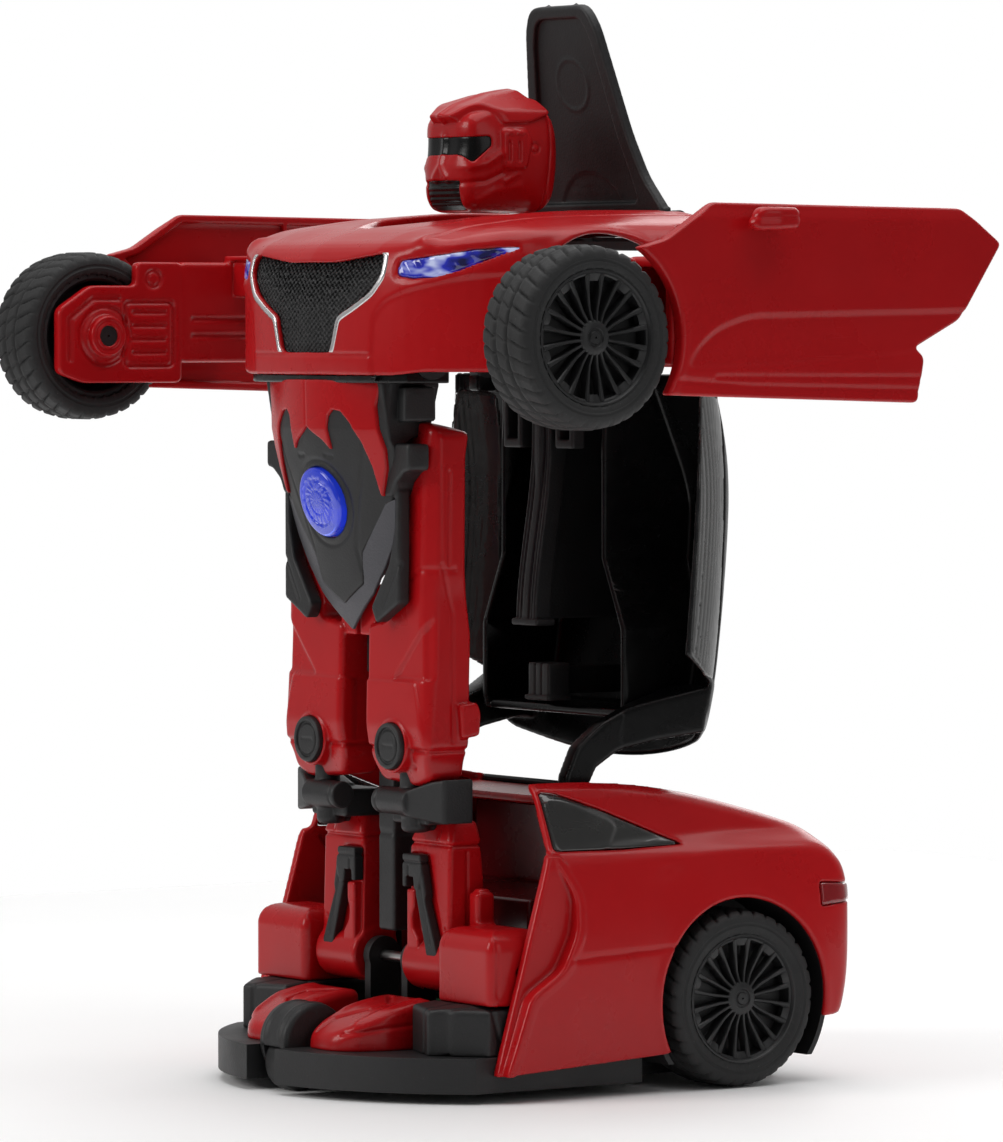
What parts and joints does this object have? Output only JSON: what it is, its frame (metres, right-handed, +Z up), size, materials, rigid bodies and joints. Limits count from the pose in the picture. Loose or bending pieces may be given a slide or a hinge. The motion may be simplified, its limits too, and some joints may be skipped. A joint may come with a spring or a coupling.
{
  "type": "transforming robot car",
  "caption": "Toy sports car that folds into a standing robot: legs, chest, head, canopy and door arms driven as one folding linkage, on rolling wheels.",
  "frame": {"origin": "centre of the footprint, on the floor that the toy stands on, in its robot form", "axes": "+Z up, -Y the way the robot faces, +X the robot's left"},
  "size_m": [0.295, 0.168, 0.3106],
  "materials": {
    "red_gloss": "glossy moulded toy red",
    "red_dark": "glossy dark red liner",
    "black_satin": "satin black moulded plastic",
    "black_gloss": "polished black moulded plastic",
    "charcoal_window": "smoked charcoal window",
    "grey_panel": "mid grey satin plastic",
    "blue_lens": "blue translucent lens",
    "headlight_blue": "blue lit lamp glass",
    "trim_silver": "bright silver trim line",
    "tail_red": "red translucent lamp",
    "tyre_rubber": "soft black tread rubber",
    "rim_black": "satin black rim",
    "steel": "bright steel",
    "battery_green": "shrink wrapped cells",
    "board_green": "solder mask green",
    "gear_white": "natural white moulded casing"
  },
  "bodies": {
    "base": {"chassis_base": "black_satin", "rear_body_shell": "red_gloss", "side_windows": "charcoal_window", "rear_window": "black_gloss", "tail_lamps": "tail_red", "rear_diffuser": "black_satin", "inner_tub": "red_dark", "front_block_left": "red_gloss", "front_block_right": "red_gloss", "corner_covers": "black_satin", "foot_left": "red_gloss", "foot_right": "red_gloss", "roller_housing": "black_gloss", "battery_pack": "battery_green", "battery_door": "black_satin", "circuit_board": "board_green", "drive_gearboxes": "gear_white", "transform_gearbox": "gear_white", "hinge_pins": "steel", "case_screws": "steel"},
    "front_roller": {"front_roller": "rim_black"},
    "power_switch": {"power_switch": "black_satin"},
    "rear_wheel_left": {"rear_tyre_left": "tyre_rubber", "rear_rim_left": "rim_black"},
    "rear_wheel_right": {"rear_tyre_right": "tyre_rubber", "rear_rim_right": "rim_black"},
    "legs": {"leg_frame": "black_satin", "thigh_left": "red_gloss", "thigh_right": "red_gloss", "shin_left": "red_gloss", "shin_right": "red_gloss", "knee_joints": "black_satin", "shin_struts": "black_satin", "torso_core": "black_satin", "torso_cover": "red_gloss", "torso_side_panels": "grey_panel", "chest_lens": "blue_lens"},
    "chest": {"front_body_shell": "red_gloss", "front_grille": "black_satin", "grille_trim": "trim_silver", "headlights": "headlight_blue", "front_lip": "black_gloss", "chest_frame": "black_satin"},
    "head": {"head_shell": "red_gloss", "face_mask": "black_satin"},
    "bonnet_flap": {"bonnet_flap": "black_satin"},
    "canopy": {"canopy_shell": "black_satin", "canopy_glass": "charcoal_window"},
    "link_left": {"swing_link_left": "black_satin"},
    "link_right": {"swing_link_right": "black_satin"},
    "arm_left": {"wheel_bracket_left": "red_gloss", "door_left": "red_gloss", "door_mirror_left": "red_gloss"},
    "arm_right": {"wheel_bracket_right": "red_gloss", "door_right": "red_gloss", "door_mirror_right": "red_gloss"},
    "front_wheel_left": {"front_tyre_left": "tyre_rubber", "front_rim_left": "rim_black"},
    "front_wheel_right": {"front_tyre_right": "tyre_rubber", "front_rim_right": "rim_black"}
  },
  "joints": [
    {"name": "transform", "type": "hinge", "parent": "base", "child": "legs", "pos_m": [0, -0.03, 0.036], "axis": [1, 0, 0], "range_deg": [0, 90]},
    {"name": "waist", "type": "hinge", "parent": "legs", "child": "chest", "pos_m": [0, -0.046, 0.208], "axis": [1, 0, 0], "range_deg": [-90.5, 0.5]},
    {"name": "canopy_hinge", "type": "hinge", "parent": "base", "child": "canopy", "pos_m": [0, 0.029, 0.064], "axis": [1, 0, 0], "range_deg": [-0.5, 90.5]},
    {"name": "head_slide", "type": "slide", "parent": "chest", "child": "head", "axis": [0, 0, -1], "range_m": [-0.0005, 0.0425]},
    {"name": "flap_hinge", "type": "hinge", "parent": "chest", "child": "bonnet_flap", "pos_m": [0, 0.039, 0.247], "axis": [1, 0, 0], "range_deg": [-0.5, 78.5]},
    {"name": "link_left_pivot", "type": "hinge", "parent": "chest", "child": "link_left", "pos_m": [0.04, -0.016, 0.231], "axis": [0, 0, 1], "range_deg": [-0.5, 90.5]},
    {"name": "link_right_pivot", "type": "hinge", "parent": "chest", "child": "link_right", "pos_m": [-0.04, -0.016, 0.231], "axis": [0, 0, 1], "range_deg": [-90.5, 0.5]},
    {"name": "arm_left_pivot", "type": "hinge", "parent": "link_left", "child": "arm_left", "pos_m": [0.10193, -0.00839, 0.231], "axis": [0, 0, 1], "range_deg": [-90.5, 0.5]},
    {"name": "arm_right_pivot", "type": "hinge", "parent": "link_right", "child": "arm_right", "pos_m": [-0.10193, -0.00839, 0.231], "axis": [0, 0, 1], "range_deg": [-0.5, 90.5]},
    {"name": "front_wheel_left_spin", "type": "hinge", "parent": "arm_left", "child": "front_wheel_left", "pos_m": [0.12865, -0.059, 0.214], "axis": [1, 0, 0], "continuous": true},
    {"name": "front_wheel_right_spin", "type": "hinge", "parent": "arm_right", "child": "front_wheel_right", "pos_m": [-0.12865, -0.059, 0.214], "axis": [1, 0, 0], "continuous": true},
    {"name": "rear_wheel_left_spin", "type": "hinge", "parent": "base", "child": "rear_wheel_left", "pos_m": [0.05865, 0.042, 0.0255], "axis": [1, 0, 0], "continuous": true},
    {"name": "rear_wheel_right_spin", "type": "hinge", "parent": "base", "child": "rear_wheel_right", "pos_m": [-0.05865, 0.042, 0.0255], "axis": [1, 0, 0], "continuous": true},
    {"name": "roller_spin", "type": "hinge", "parent": "base", "child": "front_roller", "pos_m": [0, -0.066, 0.008], "axis": [1, 0, 0], "continuous": true},
    {"name": "power_slide", "type": "slide", "parent": "base", "child": "power_switch", "axis": [1, 0, 0], "range_m": [0, 0.004]}
  ],
  "couplings": [
    {"joint": "waist", "follows": "transform", "ratio": -1},
    {"joint": "canopy_hinge", "follows": "transform", "ratio": 1},
    {"joint": "head_slide", "follows": "transform", "m_per_rad": 0.026738},
    {"joint": "flap_hinge", "follows": "transform", "ratio": 0.86667},
    {"joint": "link_left_pivot", "follows": "transform", "ratio": 1},
    {"joint": "link_right_pivot", "follows": "transform", "ratio": -1},
    {"joint": "arm_left_pivot", "follows": "transform", "ratio": -1},
    {"joint": "arm_right_pivot", "follows": "transform", "ratio": 1}
  ]
}
